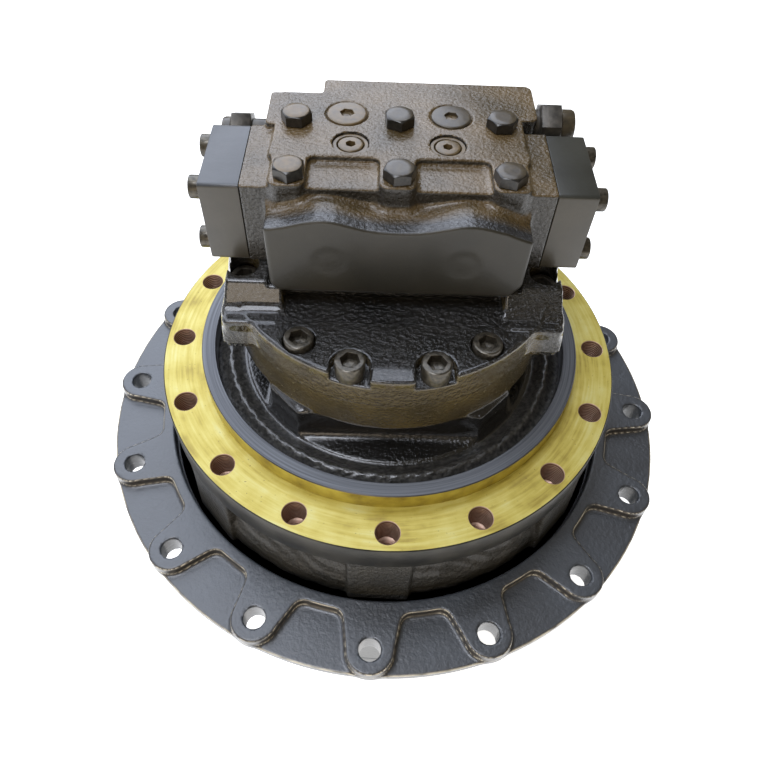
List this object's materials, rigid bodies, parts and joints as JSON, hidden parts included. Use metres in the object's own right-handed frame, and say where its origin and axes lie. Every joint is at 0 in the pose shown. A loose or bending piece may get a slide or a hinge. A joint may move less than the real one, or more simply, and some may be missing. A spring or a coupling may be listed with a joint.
{
  "type": "excavator final drive",
  "caption": "Hydraulic travel motor on a planetary reducer: lobed sprocket flange on a turning hub, bolted frame flange, and a brake valve with hose ports on top.",
  "frame": {"origin": "bottom centre of the box, on the drive's axis, at the rest face on the end cover's boss", "axes": "+Z along the drive's axis from the end cover up to the brake valve; -Y is the side with the two hose ports; +X is to the right of someone who faces the ports"},
  "size_m": [0.5744, 0.5744, 0.5833],
  "materials": {
    "casting_dark": "semi-gloss brown-black over cast texture",
    "flange_grey": "semi-gloss dark blue-grey over cast texture",
    "yellow_face": "thin gold-yellow varnish on a machined face",
    "cap_grey": "smooth blue-grey paint",
    "black_oxide": "black oxide, oiled",
    "steel": "ground steel",
    "gear_steel": "case-hardened, oiled",
    "bronze": "bearing bronze",
    "rubber": "matt black"
  },
  "bodies": {
    "stator": {"spindle": "yellow_face", "rear_cover": "casting_dark", "rear_cover_bolt_1": "black_oxide", "rear_cover_bolt_2": "black_oxide", "rear_cover_bolt_3": "black_oxide", "rear_cover_bolt_4": "black_oxide", "rear_cover_bolt_5": "black_oxide", "rear_cover_bolt_6": "black_oxide", "rear_cover_bolt_7": "black_oxide", "rear_cover_bolt_8": "black_oxide", "valve_body": "casting_dark", "valve_bolt_1": "black_oxide", "valve_bolt_2": "black_oxide", "valve_bolt_3": "black_oxide", "valve_bolt_4": "black_oxide", "valve_bolt_5": "black_oxide", "valve_bolt_6": "black_oxide", "makeup_plug_left": "black_oxide", "makeup_plug_right": "black_oxide", "check_plug_left": "black_oxide", "check_plug_right": "black_oxide", "spool_cap_left": "cap_grey", "spool_cap_right": "cap_grey", "relief_valve_left": "black_oxide", "relief_valve_right": "black_oxide", "bearing_inner_upper": "steel", "bearing_inner_lower": "steel", "bearing_nut": "steel", "seal_ring_upper": "steel", "seal_toric_upper": "rubber", "carrier_2": "gear_steel", "shaft_bearing": "steel", "shaft_seal": "rubber", "valve_plate": "bronze"},
    "hub": {"hub_housing": "flange_grey", "ring_gear": "gear_steel", "end_cover": "flange_grey", "thrust_plate": "bronze", "drain_plug": "steel", "level_plug": "steel", "fill_plug": "steel", "bearing_outer_upper": "steel", "bearing_outer_lower": "steel", "seal_ring_lower": "steel", "seal_toric_lower": "rubber"},
    "rollers_upper": {"bearing_rollers_upper": "steel"},
    "rollers_lower": {"bearing_rollers_lower": "steel"},
    "first_carrier": {"carrier_1": "gear_steel", "sun_2": "gear_steel"},
    "input_shaft": {"sun_1": "gear_steel", "motor_shaft": "steel", "cylinder_block": "gear_steel"},
    "spool": {"counterbalance_spool": "steel"},
    "brake": {"brake_piston": "gear_steel"},
    "planet_1_1": {"planet_1_1": "gear_steel"},
    "planet_1_2": {"planet_1_2": "gear_steel"},
    "planet_1_3": {"planet_1_3": "gear_steel"},
    "planet_2_1": {"planet_2_1": "gear_steel"},
    "planet_2_2": {"planet_2_2": "gear_steel"},
    "planet_2_3": {"planet_2_3": "gear_steel"}
  },
  "joints": [
    {"name": "hub_spin", "type": "hinge", "parent": "stator", "child": "hub", "pos_m": [0, 0, 0.15], "axis": [0, 0, 1], "continuous": true},
    {"name": "rollers_upper_spin", "type": "hinge", "parent": "stator", "child": "rollers_upper", "pos_m": [0, 0, 0.23], "axis": [0, 0, 1], "continuous": true},
    {"name": "rollers_lower_spin", "type": "hinge", "parent": "stator", "child": "rollers_lower", "pos_m": [0, 0, 0.19], "axis": [0, 0, 1], "continuous": true},
    {"name": "planet_2_1_spin", "type": "hinge", "parent": "stator", "child": "planet_2_1", "pos_m": [0, 0.10725, 0.11], "axis": [0, 0, 1], "continuous": true},
    {"name": "planet_2_2_spin", "type": "hinge", "parent": "stator", "child": "planet_2_2", "pos_m": [-0.09288, -0.05362, 0.11], "axis": [0, 0, 1], "continuous": true},
    {"name": "planet_2_3_spin", "type": "hinge", "parent": "stator", "child": "planet_2_3", "pos_m": [0.09288, -0.05362, 0.11], "axis": [0, 0, 1], "continuous": true},
    {"name": "first_carrier_spin", "type": "hinge", "parent": "stator", "child": "first_carrier", "pos_m": [0, 0, 0.09], "axis": [0, 0, 1], "continuous": true},
    {"name": "planet_1_1_spin", "type": "hinge", "parent": "first_carrier", "child": "planet_1_1", "pos_m": [0.08574, 0.0495, 0.05], "axis": [0, 0, 1], "continuous": true},
    {"name": "planet_1_2_spin", "type": "hinge", "parent": "first_carrier", "child": "planet_1_2", "pos_m": [-0.08574, 0.0495, 0.05], "axis": [0, 0, 1], "continuous": true},
    {"name": "planet_1_3_spin", "type": "hinge", "parent": "first_carrier", "child": "planet_1_3", "pos_m": [0, -0.099, 0.05], "axis": [0, 0, 1], "continuous": true},
    {"name": "input_shaft_spin", "type": "hinge", "parent": "stator", "child": "input_shaft", "pos_m": [0, 0, 0.2], "axis": [0, 0, 1], "continuous": true},
    {"name": "spool_slide", "type": "slide", "parent": "stator", "child": "spool", "axis": [1, 0, 0], "range_m": [-0.008, 0.008], "stiffness_N_per_m": 8000},
    {"name": "brake_slide", "type": "slide", "parent": "stator", "child": "brake", "axis": [0, 0, 1], "range_m": [0, 0.003], "stiffness_N_per_m": 20000, "springref_m": -0.005}
  ],
  "couplings": [
    {"joint": "rollers_upper_spin", "follows": "hub_spin", "ratio": 0.52667},
    {"joint": "rollers_lower_spin", "follows": "hub_spin", "ratio": 0.52667},
    {"joint": "planet_2_1_spin", "follows": "hub_spin", "ratio": 2.8571},
    {"joint": "planet_2_2_spin", "follows": "hub_spin", "ratio": 2.8571},
    {"joint": "planet_2_3_spin", "follows": "hub_spin", "ratio": 2.8571},
    {"joint": "first_carrier_spin", "follows": "hub_spin", "ratio": -3.3333},
    {"joint": "planet_1_1_spin", "follows": "hub_spin", "ratio": 10.833},
    {"joint": "planet_1_2_spin", "follows": "hub_spin", "ratio": 10.833},
    {"joint": "planet_1_3_spin", "follows": "hub_spin", "ratio": 10.833},
    {"joint": "input_shaft_spin", "follows": "hub_spin", "ratio": -25}
  ]
}
